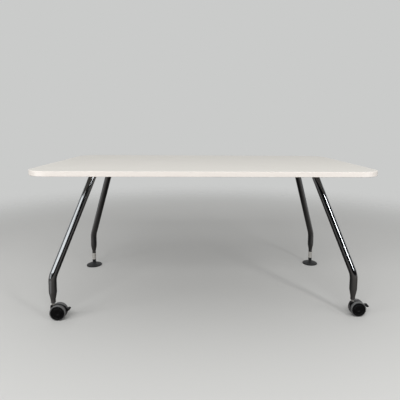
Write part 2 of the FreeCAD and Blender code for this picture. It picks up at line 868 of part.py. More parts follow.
def make_pad(label):
    radius = sizes.pad_diameter / 2
    top = sizes.pad_thickness
    bevel = sizes.edge_break / 2
    return turned(label, [(0, 0), (radius - bevel, 0), (radius, bevel), (radius, top), (0, top)])


def make_leg_ends():
    """The stem socket in each front leg and the threaded bush in each rear leg."""
    outer = neck_bore - sizes.seat_clearance
    top = sizes.leg_end + sizes.bush_length
    socket_bore = sizes.stem_diameter / 2 + sizes.seat_clearance
    thread_bore = sizes.stud_diameter / 2 + sizes.running_clearance
    pieces = []
    for side, sign in SIDES.items():
        x = sizes.foot_x * sign
        socket = tube(f"{side}_stem_socket", socket_bore, outer, sizes.leg_end, top)
        bush = tube(f"{side}_thread_bush", thread_bore, outer, sizes.leg_end, top)
        pieces.append(put(socket, x, -sizes.foot_y, 0))
        pieces.append(put(bush, x, sizes.foot_y, 0))
    return pieces


def main():
    pieces = make_top() + make_fasteners() + make_leg_ends()
    for corner in CORNERS:
        pieces.append(make_bracket(corner))
        pieces.append(make_leg(corner))
    for side in SIDES:
        pieces += make_castor(side)
        pieces += make_glide(side)
    doc.recompute()
    for item in doc.Objects:
        if "Invalid" in item.State or "Error" in item.State:
            raise ValueError(f"{item.Label} could not be built")
    for piece in pieces:
        if piece.Shape.isNull() or not piece.Shape.isValid():
            raise ValueError(f"{piece.Label} has no valid shape")
    os.makedirs("parts", exist_ok=True)
    for piece in pieces:
        piece.Shape.exportStep(f"parts/{piece.Label}.step")
        print(f"{piece.Label}: {len(piece.Shape.Solids)} solid(s), {piece.Shape.Volume / 1000:.2f} cm3")


main()
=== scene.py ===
"""Mobile desk: finishes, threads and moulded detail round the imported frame, with a studio and a camera.

Metres, in the part's own frame: the floor is z = 0, X runs along the desk, and the castors stand on the
-Y side. The camera stands where the photograph was taken from.
"""
import json
import math

import bmesh
import bpy
from mathutils import Matrix, Vector


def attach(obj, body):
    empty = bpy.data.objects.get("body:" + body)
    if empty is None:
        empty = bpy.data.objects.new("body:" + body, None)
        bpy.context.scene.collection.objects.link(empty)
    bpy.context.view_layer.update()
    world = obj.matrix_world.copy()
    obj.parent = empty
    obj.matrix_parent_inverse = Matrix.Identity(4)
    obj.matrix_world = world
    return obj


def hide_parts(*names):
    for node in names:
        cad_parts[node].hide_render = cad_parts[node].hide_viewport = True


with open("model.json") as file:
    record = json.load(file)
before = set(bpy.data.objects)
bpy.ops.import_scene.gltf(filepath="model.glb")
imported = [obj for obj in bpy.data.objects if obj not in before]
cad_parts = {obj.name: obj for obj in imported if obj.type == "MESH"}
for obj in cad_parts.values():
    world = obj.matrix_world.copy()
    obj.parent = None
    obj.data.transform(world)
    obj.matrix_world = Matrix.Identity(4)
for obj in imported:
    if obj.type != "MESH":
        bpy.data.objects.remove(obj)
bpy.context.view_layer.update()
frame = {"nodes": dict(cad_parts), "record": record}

MM = 0.001


# Finishes

def linear(colour):
    """An sRGB hex value as linear red, green, blue and alpha."""
    channels = [int(colour[start:start + 2], 16) / 255 for start in (1, 3, 5)]
    return [c / 12.92 if c <= 0.04045 else ((c + 0.055) / 1.055) ** 2.4 for c in channels] + [1.0]


def add(tree, kind, settings=None, links=None):
    """Add a shader node, set its properties and input values, and link its inputs."""
    node = tree.nodes.new(kind)
    for name, value in (settings or {}).items():
        if name in node.inputs:
            node.inputs[name].default_value = value
        else:
            setattr(node, name, value)
    for name, socket in (links or {}).items():
        tree.links.new(socket, node.inputs[name])
    return node


def per(millimetres):
    """The scale of a pattern whose features are this far apart."""
    return 1 / (millimetres * MM)


def new_finish(name, settings):
    """A material with one principled surface; its settings are the same all over it."""
    finish = bpy.data.materials.new(name)
    finish.use_nodes = True
    tree = finish.node_tree
    surface = tree.nodes["Principled BSDF"]
    for socket, value in settings.items():
        surface.inputs[socket].default_value = value
    place = add(tree, "ShaderNodeTexCoord").outputs["Object"]
    return finish, tree, surface, place


def melamine_laminate():
    # Melamine-faced laminate, pressed on a finely pearled plate: an even, slightly grey white with a low
    # sheen. The pearl is about 0.4 mm across and is drawn at 2.5 mm so that it shows.
    finish, tree, surface, place = new_finish("melamine_laminate", {"IOR": 1.5})
    clouds = add(tree, "ShaderNodeTexNoise", {"Scale": per(180), "Detail": 3.0}, {"Vector": place})
    tone = add(tree, "ShaderNodeValToRGB", links={"Fac": clouds.outputs["Fac"]})
    tone.color_ramp.elements[0].color = linear("#dfdcd5")
    tone.color_ramp.elements[1].color = linear("#e4e1da")
    tree.links.new(tone.outputs["Color"], surface.inputs["Base Color"])
    wiped = add(tree, "ShaderNodeMapping", {"Scale": (0.25, 1.0, 1.0)}, {"Vector": place})
    smears = add(tree, "ShaderNodeTexNoise", {"Scale": per(60), "Detail": 4.0},
                 {"Vector": wiped.outputs["Vector"]})
    gloss = add(tree, "ShaderNodeMapRange", {"To Min": 0.42, "To Max": 0.54},
                {"Value": smears.outputs["Fac"]})
    tree.links.new(gloss.outputs["Result"], surface.inputs["Roughness"])
    pearl = add(tree, "ShaderNodeTexNoise", {"Scale": per(2.5), "Detail": 2.0}, {"Vector": place})
    bump = add(tree, "ShaderNodeBump", {"Strength": 0.12, "Distance": 0.1 * MM},
               {"Height": pearl.outputs["Fac"]})
    tree.links.new(bump.outputs["Normal"], surface.inputs["Normal"])
    return finish


def abs_edging():
    # ABS edge band, extruded, glued on and scraped flush: a warmer white than the faces, and a brighter one,
    # the brightness partly painted light for the front light falling on the edge, with a satin skin and
    # faint scraper lines along it, 0.6 mm apart and drawn at 2 mm.
    finish, tree, surface, place = new_finish("abs_edging", {"IOR": 1.53})
    clouds = add(tree, "ShaderNodeTexNoise", {"Scale": per(90), "Detail": 3.0}, {"Vector": place})
    # The edge's lighter tone over the faces' tone is partly painted light: the front light on the edge.
    tone = add(tree, "ShaderNodeValToRGB", links={"Fac": clouds.outputs["Fac"]})
    tone.color_ramp.elements[0].color = linear("#f0e9e2")
    tone.color_ramp.elements[1].color = linear("#f6f0e9")
    tree.links.new(tone.outputs["Color"], surface.inputs["Base Color"])
    drawn = add(tree, "ShaderNodeMapping", {"Scale": (0.01, 0.01, 1.0)}, {"Vector": place})
    lines = add(tree, "ShaderNodeTexNoise", {"Scale": per(2), "Detail": 3.0},
                {"Vector": drawn.outputs["Vector"]})
    gloss = add(tree, "ShaderNodeMapRange", {"To Min": 0.3, "To Max": 0.42}, {"Value": lines.outputs["Fac"]})
    tree.links.new(gloss.outputs["Result"], surface.inputs["Roughness"])
    bump = add(tree, "ShaderNodeBump", {"Strength": 0.1, "Distance": 0.1 * MM},
               {"Height": lines.outputs["Fac"]})
    tree.links.new(bump.outputs["Normal"], surface.inputs["Normal"])
    return finish


def chipboard():
    # Chipboard, pressed from wood chips and glue: tan flakes of several browns, 1 to 4 mm across, rough.
    finish, tree, surface, place = new_finish("chipboard", {"Roughness": 0.85})
    flakes = add(tree, "ShaderNodeTexVoronoi", {"Scale": per(3)}, {"Vector": place})
    tone = add(tree, "ShaderNodeValToRGB", links={"Fac": flakes.outputs["Color"]})
    tone.color_ramp.elements[0].color = linear("#8f6f4a")
    tone.color_ramp.elements[1].color = linear("#cdb28a")
    tree.links.new(tone.outputs["Color"], surface.inputs["Base Color"])
    bump = add(tree, "ShaderNodeBump", {"Strength": 0.4, "Distance": 0.3 * MM},
               {"Height": flakes.outputs["Distance"]})
    tree.links.new(bump.outputs["Normal"], surface.inputs["Normal"])
    return finish


def chrome_plate():
    # Chromium plate on a polished steel tube: a cold mirror with the faint waves of the drawn tube, about
    # 25 mm long, and a thin haze of handling that dulls it in patches.
    mirror = {"Metallic": 1.0, "Base Color": linear("#c4c8cb")}
    finish, tree, surface, place = new_finish("chrome_plate_tube", mirror)
    haze = add(tree, "ShaderNodeTexNoise", {"Scale": per(35), "Detail": 5.0}, {"Vector": place})
    gloss = add(tree, "ShaderNodeMapRange", {"To Min": 0.05, "To Max": 0.13}, {"Value": haze.outputs["Fac"]})
    tree.links.new(gloss.outputs["Result"], surface.inputs["Roughness"])
    drawn = add(tree, "ShaderNodeMapping", {"Scale": (1.0, 1.0, 0.2)}, {"Vector": place})
    waves = add(tree, "ShaderNodeTexNoise", {"Scale": per(5), "Detail": 1.0},
                {"Vector": drawn.outputs["Vector"]})
    bump = add(tree, "ShaderNodeBump", {"Strength": 0.03, "Distance": 0.1 * MM},
               {"Height": waves.outputs["Fac"]})
    tree.links.new(bump.outputs["Normal"], surface.inputs["Normal"])
    return finish


def powder_coated_casting():
    # Die-cast aluminium with a silver-grey epoxy powder coat, sprayed and baked: satin, with an orange peel
    # about 1.5 mm across and fine flakes that vary its tone, 0.1 mm across and drawn at 0.6 mm.
    finish, tree, surface, place = new_finish("powder_coated_casting", {"Metallic": 0.25, "IOR": 1.5})
    flakes = add(tree, "ShaderNodeTexNoise", {"Scale": per(0.6), "Detail": 2.0}, {"Vector": place})
    tone = add(tree, "ShaderNodeValToRGB", links={"Fac": flakes.outputs["Fac"]})
    tone.color_ramp.elements[0].color = linear("#85888a")
    tone.color_ramp.elements[1].color = linear("#a3a5a6")
    tree.links.new(tone.outputs["Color"], surface.inputs["Base Color"])
    peel = add(tree, "ShaderNodeTexNoise", {"Scale": per(1.5), "Detail": 1.0}, {"Vector": place})
    gloss = add(tree, "ShaderNodeMapRange", {"To Min": 0.42, "To Max": 0.54}, {"Value": peel.outputs["Fac"]})
    tree.links.new(gloss.outputs["Result"], surface.inputs["Roughness"])
    bump = add(tree, "ShaderNodeBump", {"Strength": 0.2, "Distance": 0.1 * MM},
               {"Height": peel.outputs["Fac"]})
    tree.links.new(bump.outputs["Normal"], surface.inputs["Normal"])
    return finish


def zinc_plate():
    # Zinc-plated steel, blue passivated: grey with faint blue and straw clouds a few millimetres across.
    finish, tree, surface, place = new_finish("zinc_plate", {"Metallic": 1.0})
    clouds = add(tree, "ShaderNodeTexNoise", {"Scale": per(4), "Detail": 3.0}, {"Vector": place})
    tone = add(tree, "ShaderNodeValToRGB", links={"Fac": clouds.outputs["Fac"]})
    tone.color_ramp.elements[0].color = linear("#b3b9c2")
    tone.color_ramp.elements[1].color = linear("#c6c3b8")
    tree.links.new(tone.outputs["Color"], surface.inputs["Base Color"])
    gloss = add(tree, "ShaderNodeMapRange", {"To Min": 0.24, "To Max": 0.4},
                {"Value": clouds.outputs["Fac"]})
    tree.links.new(gloss.outputs["Result"], surface.inputs["Roughness"])
    return finish


def brass():
    # Free-cutting brass, turned: yellow metal with fine tool rings, 0.2 mm apart and drawn at 0.6 mm.
    finish, tree, surface, place = new_finish("brass", {"Metallic": 1.0, "Base Color": linear("#c9a85c")})
    spacing = per(0.6) / math.tau
    rings = add(tree, "ShaderNodeTexWave", {"bands_direction": "Z", "Scale": spacing, "Distortion": 0.5},
                {"Vector": place})
    gloss = add(tree, "ShaderNodeMapRange", {"To Min": 0.25, "To Max": 0.4}, {"Value": rings.outputs["Fac"]})
    tree.links.new(gloss.outputs["Result"], surface.inputs["Roughness"])
    return finish


def black_nylon(name, dark, light, roughness_low, roughness_high):
    # Glass-filled nylon, moulded in a spark-eroded tool: near black with a low sheen, grey where handling
    # has polished it, and an even stipple 0.2 mm across, drawn at 0.7 mm.
    finish, tree, surface, place = new_finish(name, {"IOR": 1.53, "Specular IOR Level": 0.35})
    clouds = add(tree, "ShaderNodeTexNoise", {"Scale": per(11), "Detail": 4.0}, {"Vector": place})
    tone = add(tree, "ShaderNodeValToRGB", links={"Fac": clouds.outputs["Fac"]})
    tone.color_ramp.elements[0].color = linear(dark)
    tone.color_ramp.elements[1].color = linear(light)
    tree.links.new(tone.outputs["Color"], surface.inputs["Base Color"])
    gloss = add(tree, "ShaderNodeMapRange", {"To Min": roughness_low, "To Max": roughness_high},
                {"Value": clouds.outputs["Fac"]})
    tree.links.new(gloss.outputs["Result"], surface.inputs["Roughness"])
    stipple = add(tree, "ShaderNodeTexNoise", {"Scale": per(0.7), "Detail": 2.0}, {"Vector": place})
    bump = add(tree, "ShaderNodeBump", {"Strength": 0.25, "Distance": 0.05 * MM},
               {"Height": stipple.outputs["Fac"]})
    tree.links.new(bump.outputs["Normal"], surface.inputs["Normal"])
    return finish


def polyurethane_tread():
    # Soft polyurethane tyre, cast on the wheel: mid grey and matt, scuffed and dusty from rolling, in
    # patches of 2 to 6 mm.
    finish, tree, surface, place = new_finish("polyurethane_tread", {"IOR": 1.5})
    scuffs = add(tree, "ShaderNodeTexNoise", {"Scale": per(5), "Detail": 5.0, "Roughness": 0.65},
                 {"Vector": place})
    tone = add(tree, "ShaderNodeValToRGB", links={"Fac": scuffs.outputs["Fac"]})
    tone.color_ramp.elements[0].position = 0.35
    tone.color_ramp.elements[0].color = linear("#4e4f50")
    tone.color_ramp.elements[1].position = 0.75
    tone.color_ramp.elements[1].color = linear("#747473")
    tree.links.new(tone.outputs["Color"], surface.inputs["Base Color"])
    gloss = add(tree, "ShaderNodeMapRange", {"To Min": 0.55, "To Max": 0.8},
                {"Value": scuffs.outputs["Fac"]})
    tree.links.new(gloss.outputs["Result"], surface.inputs["Roughness"])
    bump = add(tree, "ShaderNodeBump", {"Strength": 0.3, "Distance": 0.1 * MM},
               {"Height": scuffs.outputs["Fac"]})
    tree.links.new(bump.outputs["Normal"], surface.inputs["Normal"])
    return finish


def satin_aluminium(name, colour, roughness_low, roughness_high):
    # Aluminium or nickel-plated bar, turned and blasted: a pale grey that blurs reflections, with faint tool
    # rings 0.2 mm apart, drawn at 0.7 mm.
    finish, tree, surface, place = new_finish(name, {"Metallic": 1.0, "Base Color": linear(colour)})
    drawn = add(tree, "ShaderNodeMapping", {"Scale": (0.02, 0.02, 1.0)}, {"Vector": place})
    rings = add(tree, "ShaderNodeTexNoise", {"Scale": per(0.7), "Detail": 3.0},
                {"Vector": drawn.outputs["Vector"]})
    gloss = add(tree, "ShaderNodeMapRange", {"To Min": roughness_low, "To Max": roughness_high},
                {"Value": rings.outputs["Fac"]})
    tree.links.new(gloss.outputs["Result"], surface.inputs["Roughness"])
    bump = add(tree, "ShaderNodeBump", {"Strength": 0.06, "Distance": 0.02 * MM},
               {"Height": rings.outputs["Fac"]})
    tree.links.new(bump.outputs["Normal"], surface.inputs["Normal"])
    return finish


def rubber_pad():
    # Nitrile rubber sheet under the glide: dead matt charcoal with dust in a grain of about 1 mm.
    finish, tree, surface, place = new_finish("rubber_pad", {"Roughness": 0.9})
    dust = add(tree, "ShaderNodeTexNoise", {"Scale": per(1), "Detail": 4.0}, {"Vector": place})
    tone = add(tree, "ShaderNodeValToRGB", links={"Fac": dust.outputs["Fac"]})
    tone.color_ramp.elements[0].color = linear("#1c1c1d")
    tone.color_ramp.elements[1].color = linear("#333334")
    tree.links.new(tone.outputs["Color"], surface.inputs["Base Color"])
    return finish


def make_finishes():
    """The finish of each material slot."""
    return {
        "white_laminate": melamine_laminate(),
        "white_edge": abs_edging(),
        "chipboard": chipboard(),
        "brass_insert": brass(),
        "zinc_steel": zinc_plate(),
        "cast_aluminium": powder_coated_casting(),
        "chromed_tube": chrome_plate(),
        "bright_collar": satin_aluminium("satin_nickel_collar", "#d6d4cf", 0.42, 0.54),
        "black_nylon": black_nylon("black_nylon_castor", "#030304", "#09090a", 0.3, 0.42),
        "grey_tread": polyurethane_tread(),
        "satin_aluminium": satin_aluminium("satin_aluminium_barrel", "#e9e7e2", 0.62, 0.74),
        "black_foot": black_nylon("black_nylon_foot", "#17181a", "#232425", 0.38, 0.5),
        "dark_pad": rubber_pad(),
    }


def dress_nodes(finishes):
    """Give every node of the frame the finish of its slot."""
    for subpart in frame["record"]["subparts"]:
        node = frame["nodes"][subpart["node"]]
        node.data.materials.clear()
        node.data.materials.append(finishes[subpart["material_slot"]])


# Sizes of the turned, bent and moulded pieces, in metres

# Where the legs stand, and how they lean
UNDERSIDE = 696.8 * MM
FOOT_X = 720 * MM
FOOT_Y = 345 * MM
LEAN = math.radians(25.7)
CORNERS = {"front_left": (-1, -1), "front_right": (1, -1), "rear_left": (-1, 1), "rear_right": (1, 1)}
SIDES = {"left": -1, "right": 1}

# Leg tubes
TUBE_RADIUS = 16 * MM
TUBE_WALL = 2 * MM
NECK_RADIUS = 9 * MM
LEG_END = 82 * MM
NECK_TOP = 97 * MM
SHOULDER = 133 * MM
SWAGE_BEVEL = 5.8 * MM
KNEE = 206 * MM
BEND_RADIUS = 100 * MM

# Brackets and their screws; a domed head is given as shares of its height, with how far each ring narrows
BRACKET_X = 552.9 * MM
BRACKET_Y = 177.9 * MM
PLATE = 6 * MM
HOLE_PITCH = 82 * MM
SCREW_RADIUS = 3 * MM
SCREW_LENGTH = 17 * MM
HEAD_RADIUS = 6 * MM
HEAD_HEIGHT = 4 * MM
HEAD_DOME = [(0.3, 1.0), (0.35, 0.94), (0.25, 0.85), (0.1, 0.76)]
HEAD_SOCKET = 4 * MM
HEAD_SOCKET_DEPTH = 2.4 * MM

# Clamp screws
CLAMP_RADIUS = 4 * MM
CLAMP_CORE = 3.3 * MM
CLAMP_PITCH = 1.25 * MM
CLAMP_LEAD = 0.4 * MM
CLAMP_LENGTH = 9 * MM
CLAMP_CHAMFER = 0.6 * MM
CLAMP_TAPER = 0.88
CLAMP_SOCKET = 4 * MM
CLAMP_DISTANCE = 17 * MM
CLAMP_GAP = 0.05 * MM

# Castor wheels
TRAIL = 24 * MM
WHEEL_RADIUS = 37.5 * MM
WHEEL_PLANE = 7.6 * MM
WHEEL_WIDTH = 14.4 * MM
WHEEL_WEB = 3 * MM
WHEEL_BORE = 3.05 * MM
WHEEL_SOFTENING = 0.25 * MM
HUB_RADIUS = 9.5 * MM
RIM_RADIUS = 33 * MM
RIM_WALL = 3 * MM
RIM_BEVEL = 1.2 * MM
CAP_RADIUS = 22.8 * MM
GROOVE_WIDTH = 1.8 * MM
GROOVE_DEPTH = 1.1 * MM
GROOVE_SLOPE = 0.4 * MM
GROOVE_LIP = 0.25 * MM
DIMPLE_RADIUS = 8.2 * MM
DIMPLE_DEPTH = 0.6 * MM
SPOKES = 6
SPOKE_SIZE = (22 * MM, 2 * MM, 10 * MM)
SPOKE_PLACE = (19.75 * MM, 0, 6.5 * MM)

# Brake pedals
PEDAL_FRONT = 65 * MM
PEDAL_LENGTH = 12 * MM
PEDAL_TOP = 55 * MM
PEDAL_DROP = 3 * MM
PEDAL_RIBS = 4
RIB_SIZE = (1.1 * MM, 21 * MM, 1.4 * MM)
RIB_SOFTENING = 0.35 * MM

# Glide studs
STUD_RADIUS = 5 * MM
STUD_CORE = 4.15 * MM
STUD_TIP = 3.2 * MM
STUD_BOTTOM = 69.7 * MM
STUD_SHOULDER = 108.6 * MM
STUD_TOP = 109.7 * MM
STUD_PITCH = 1.5 * MM
THREAD_BOTTOM = 70 * MM
THREAD_TOP = 109 * MM

# Screw threads: their depth as a share of the pitch, and the steps in one turn
THREAD_DEPTH = 0.61
THREAD_STEPS = 36

# Doubles nearer than this are merged, edges sharper than the first angle are rounded, and edges sharper than
# the second are shaded as sharp
WELD = 0.002 * MM
ROUNDED_ANGLE = math.radians(30)
SHARP_ANGLE = math.radians(38)


# Pieces

def mend(mesh):
    """Merge a mesh's doubles and point its faces outwards."""
    bmesh.ops.remove_doubles(mesh, verts=mesh.verts, dist=WELD)
    bmesh.ops.recalc_face_normals(mesh, faces=mesh.faces)


def soften(mesh, offset):
    """Round every sharp edge."""
    sharp = [edge for edge in mesh.edges if edge.calc_face_angle(0) > ROUNDED_ANGLE]
    bmesh.ops.bevel(mesh, geom=sharp, offset=offset, offset_type="OFFSET", segments=2, profile=0.5,
                    affect="EDGES", clamp_overlap=True, material=-1)


def lift(mesh, ring, rise, widen=1.0):
    """Extrude a ring of edges up the Z axis and scale it about that axis. Gives the new ring."""
    made = bmesh.ops.extrude_edge_only(mesh, edges=ring)["geom"]
    verts = [item for item in made if isinstance(item, bmesh.types.BMVert)]
    bmesh.ops.translate(mesh, verts=verts, vec=(0, 0, rise))
    bmesh.ops.scale(mesh, verts=verts, vec=(widen, widen, 1))
    return [item for item in made if isinstance(item, bmesh.types.BMEdge) and item.is_boundary]


def turn(mesh, outline, steps, closed=False):
    """Spin an outline of radii and heights once round the Z axis."""
    verts = [mesh.verts.new((radius, 0, height)) for radius, height in outline]
    ends = verts[1:] + verts[:1] if closed else verts[1:]
    edges = [mesh.edges.new(pair) for pair in zip(verts, ends)]
    bmesh.ops.spin(mesh, geom=verts + edges, cent=(0, 0, 0), axis=(0, 0, 1), angle=math.tau, steps=steps,
                   use_merge=True)
    mend(mesh)


def set_down(name, mesh, finish, slot, body, *nodes):
    """Make a piece of a finished mesh, in the place of one or more nodes."""
    data = bpy.data.meshes.new(name)
    mesh.to_mesh(data)
    mesh.free()
    data.shade_smooth()
    data.set_sharp_from_angle(angle=SHARP_ANGLE)
    data.materials.append(finish)
    piece = bpy.data.objects.new(name, data)
    bpy.context.scene.collection.objects.link(piece)
    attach(piece, body)
    if nodes:
        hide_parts(*nodes)


def bend_leg(corner, finish):
    """One chromed tube: swaged neck, shoulder, bend and sloping run, cut flush under the top."""
    x_side, y_side = CORNERS[corner]
    mesh = bmesh.new()
    bmesh.ops.create_circle(mesh, segments=72, radius=NECK_RADIUS)
    bmesh.ops.translate(mesh, verts=mesh.verts, vec=(0, 0, LEG_END))
    neck = lift(mesh, mesh.edges[:], NECK_TOP - LEG_END)
    shoulder = lift(mesh, neck, SHOULDER - NECK_TOP, TUBE_RADIUS / NECK_RADIUS)
    bend_start = KNEE - BEND_RADIUS * math.tan(LEAN / 2)
    top = lift(mesh, shoulder, bend_start - SHOULDER)
    bmesh.ops.bevel(mesh, geom=neck + shoulder, offset=SWAGE_BEVEL, offset_type="OFFSET", segments=8,
                    profile=0.5, affect="EDGES", material=-1)
    top_verts = list({vert for edge in top for vert in edge.verts})
    bent = bmesh.ops.spin(mesh, geom=top_verts + top, cent=(-BEND_RADIUS, 0, bend_start), axis=(0, -1, 0),
                          angle=LEAN, steps=24)["geom_last"]
    run = lift(mesh, [item for item in bent if isinstance(item, bmesh.types.BMEdge)], 0)
    run_verts = list({vert for edge in run for vert in edge.verts})
    length = (UNDERSIDE - KNEE) / math.cos(LEAN)
    bmesh.ops.translate(mesh, verts=run_verts, vec=(-length * math.sin(LEAN), 0, length * math.cos(LEAN)))
    bmesh.ops.bisect_plane(mesh, geom=mesh.verts[:] + mesh.edges[:] + mesh.faces[:],
                           plane_co=(0, 0, UNDERSIDE), plane_no=(0, 0, 1), clear_outer=True)
    mend(mesh)
    bmesh.ops.solidify(mesh, geom=mesh.faces[:], thickness=TUBE_WALL)
    outward = Matrix.Rotation(math.atan2(y_side, x_side), 4, "Z")
    place = Matrix.Translation((FOOT_X * x_side, FOOT_Y * y_side, 0))
    bmesh.ops.transform(mesh, matrix=place @ outward, verts=mesh.verts)
    set_down(f"{corner}_bent_leg", mesh, finish, "chromed_tube", "desk", f"{corner}_leg")


def hexagon_socket(mesh, rim, level, across_flats, depth):
    """Close the rim of a screw's end with a flat that holds a hexagon socket."""
    corners = bmesh.ops.create_circle(mesh, segments=6, radius=across_flats / math.sqrt(3))["verts"]
    bmesh.ops.translate(mesh, verts=corners, vec=(0, 0, level))
    mouth = list({edge for vert in corners for edge in vert.link_edges})
    bmesh.ops.bridge_loops(mesh, edges=rim + mouth)
    made = bmesh.ops.extrude_edge_only(mesh, edges=mouth)["geom"]
    floor_verts = [item for item in made if isinstance(item, bmesh.types.BMVert)]
    bmesh.ops.translate(mesh, verts=floor_verts, vec=(0, 0, -depth))
    bmesh.ops.contextual_create(mesh, geom=floor_verts)


def button_screw(mesh):
    """A button-head screw with a hexagon socket, its head upwards and its seat at z = 0."""
    bmesh.ops.create_circle(mesh, cap_ends=True, segments=32, radius=SCREW_RADIUS)
    bmesh.ops.translate(mesh, verts=mesh.verts, vec=(0, 0, -SCREW_LENGTH))
    ring = lift(mesh, mesh.edges[:], SCREW_LENGTH)
    ring = lift(mesh, ring, 0, HEAD_RADIUS / SCREW_RADIUS)
    for share, widen in HEAD_DOME:
        ring = lift(mesh, ring, share * HEAD_HEIGHT, widen)
    hexagon_socket(mesh, ring, HEAD_HEIGHT, HEAD_SOCKET, HEAD_SOCKET_DEPTH)
    mend(mesh)


def thread(mesh, radius, pitch, bottom, top):
    """A screw thread on the Z axis. The heights in its profile are shares of the pitch."""
    root = radius - THREAD_DEPTH * pitch
    profile = [(root, 0), (root, 0.12), (radius, 0.44), (radius, 0.56), (root, 0.88), (root, 1.0)]
    verts = [mesh.verts.new((size, 0, bottom + pitch * rise)) for size, rise in profile]
    edges = [mesh.edges.new(pair) for pair in zip(verts, verts[1:])]
    turns = math.floor((top - bottom) / pitch) - 1
    steps = turns * THREAD_STEPS
    bmesh.ops.spin(mesh, geom=verts + edges, cent=(0, 0, 0), axis=(0, 0, 1), angle=math.tau * turns,
                   steps=steps, dvec=(0, 0, pitch / THREAD_STEPS))
    mend(mesh)


def join(mesh, other):
    """Put a copy of another mesh into this one."""
    data = bpy.data.meshes.new("joined")
    other.to_mesh(data)
    other.free()
    mesh.from_mesh(data)
    bpy.data.meshes.remove(data)


def drop_screws(finish):
    """The sixteen button-head screws that hold the brackets, heads down."""
    mesh = bmesh.new()
    head_down = Matrix.Rotation(math.pi, 4, "X")
    for x_side, y_side in CORNERS.values():
        outward = Matrix.Rotation(math.atan2(y_side, x_side), 4, "Z")
        bracket = Matrix.Translation((BRACKET_X * x_side, BRACKET_Y * y_side, UNDERSIDE - PLATE)) @ outward
        for x_step in (-1, 1):
            for y_step in (-1, 1):
                screw = bmesh.new()
                button_screw(screw)
                hole = Matrix.Translation((x_step * HOLE_PITCH / 2, y_step * HOLE_PITCH / 2, 0))
                bmesh.ops.transform(screw, matrix=bracket @ hole @ head_down, verts=screw.verts)
                join(mesh, screw)
    set_down("button_screws", mesh, finish, "zinc_steel", "desk", "bracket_screws")


def drive_clamp_screws(finish):
    """The four grub screws, square to the legs, with a thread and a hexagon socket."""
    mesh = bmesh.new()
    for x_side, y_side in CORNERS.values():
        screw = bmesh.new()
        bmesh.ops.create_circle(screw, cap_ends=True, segments=32, radius=CLAMP_CORE)
        ring = lift(screw, screw.edges[:], CLAMP_LENGTH - CLAMP_CHAMFER)
        ring = lift(screw, ring, CLAMP_CHAMFER, CLAMP_TAPER)
        hexagon_socket(screw, ring, CLAMP_LENGTH, CLAMP_SOCKET, CLAMP_LENGTH / 2)
        mend(screw)
        cut = bmesh.new()
        thread(cut, CLAMP_RADIUS, CLAMP_PITCH, CLAMP_LEAD, CLAMP_LENGTH)
        join(screw, cut)
        outward = Matrix.Rotation(math.atan2(y_side, x_side), 4, "Z")
        head = Matrix.Translation((BRACKET_X * x_side, BRACKET_Y * y_side, UNDERSIDE)) @ outward
        square = Matrix.Rotation(math.pi / 2 - LEAN, 4, "Y")
        seat = Matrix.Translation((CLAMP_DISTANCE, 0, -TUBE_RADIUS - CLAMP_GAP))
        tip_inwards = Matrix.Rotation(math.pi, 4, "X")
        bmesh.ops.transform(screw, matrix=head @ square @ seat @ tip_inwards, verts=screw.verts)
        join(mesh, screw)
    set_down("grub_screws", mesh, finish, "zinc_steel", "desk", "leg_clamp_screws")


def cut_stud(side, finish):
    """The glide's threaded stud."""
    mesh = bmesh.new()
    bar = [(0, STUD_BOTTOM), (STUD_CORE, STUD_BOTTOM), (STUD_CORE, STUD_SHOULDER), (STUD_TIP, STUD_TOP),
           (0, STUD_TOP)]
    turn(mesh, bar, steps=40)
    cut = bmesh.new()
    thread(cut, STUD_RADIUS, STUD_PITCH, THREAD_BOTTOM, THREAD_TOP)
    join(mesh, cut)
    bmesh.ops.translate(mesh, verts=mesh.verts, vec=(FOOT_X * SIDES[side], FOOT_Y, 0))
    body = f"{side}_glide_screw"
    set_down(f"{side}_threaded_stud", mesh, finish, "zinc_steel", body, f"{side}_glide_stud")


def mould_wheel(side, name, sign, finish):
    """One moulded wheel: a face with a groove and a dimpled cap, a rim, and a hub and spokes inside it."""
    mesh = bmesh.new()
    web_back = WHEEL_WIDTH - WHEEL_WEB
    rim_inside = RIM_RADIUS - RIM_WALL
    groove_edge = CAP_RADIUS + GROOVE_WIDTH
    groove_floor = WHEEL_WIDTH - GROOVE_DEPTH
    dimple_floor = WHEEL_WIDTH - DIMPLE_DEPTH
    hub = [(WHEEL_BORE, web_back), (WHEEL_BORE, 0), (HUB_RADIUS, 0), (HUB_RADIUS, web_back)]
    rim = [(rim_inside, web_back), (rim_inside, 0), (RIM_RADIUS, 0), (RIM_RADIUS, WHEEL_WIDTH - RIM_BEVEL)]
    groove = [(groove_edge, WHEEL_WIDTH - GROOVE_LIP), (groove_edge - GROOVE_SLOPE, groove_floor),
              (CAP_RADIUS + GROOVE_SLOPE, groove_floor), (CAP_RADIUS, WHEEL_WIDTH)]
    dimple = [(DIMPLE_RADIUS, WHEEL_WIDTH), (DIMPLE_RADIUS - DIMPLE_DEPTH, dimple_floor), (0, dimple_floor)]
    turn(mesh, hub + rim + groove + dimple + [(0, web_back)], steps=96, closed=True)
    soften(mesh, WHEEL_SOFTENING)
    for number in range(SPOKES):
        spoke = bmesh.ops.create_cube(mesh, size=1.0)["verts"]
        bmesh.ops.scale(mesh, vec=SPOKE_SIZE, verts=spoke)
        bmesh.ops.translate(mesh, vec=SPOKE_PLACE, verts=spoke)
        step = Matrix.Rotation(math.tau * number / SPOKES, 3, "Z")
        bmesh.ops.rotate(mesh, cent=(0, 0, 0), matrix=step, verts=spoke)
    facing = Matrix.Rotation(-math.pi / 2 * sign, 4, "X")
    place = Matrix.Translation((FOOT_X * SIDES[side] + TRAIL, -FOOT_Y + WHEEL_PLANE * sign, WHEEL_RADIUS))
    bmesh.ops.transform(mesh, matrix=place @ facing, verts=mesh.verts)
    body = f"{side}_{name}_castor_wheel"
    set_down(f"{side}_{name}_moulded_wheel", mesh, finish, "black_nylon", body, f"{side}_{name}_wheel")


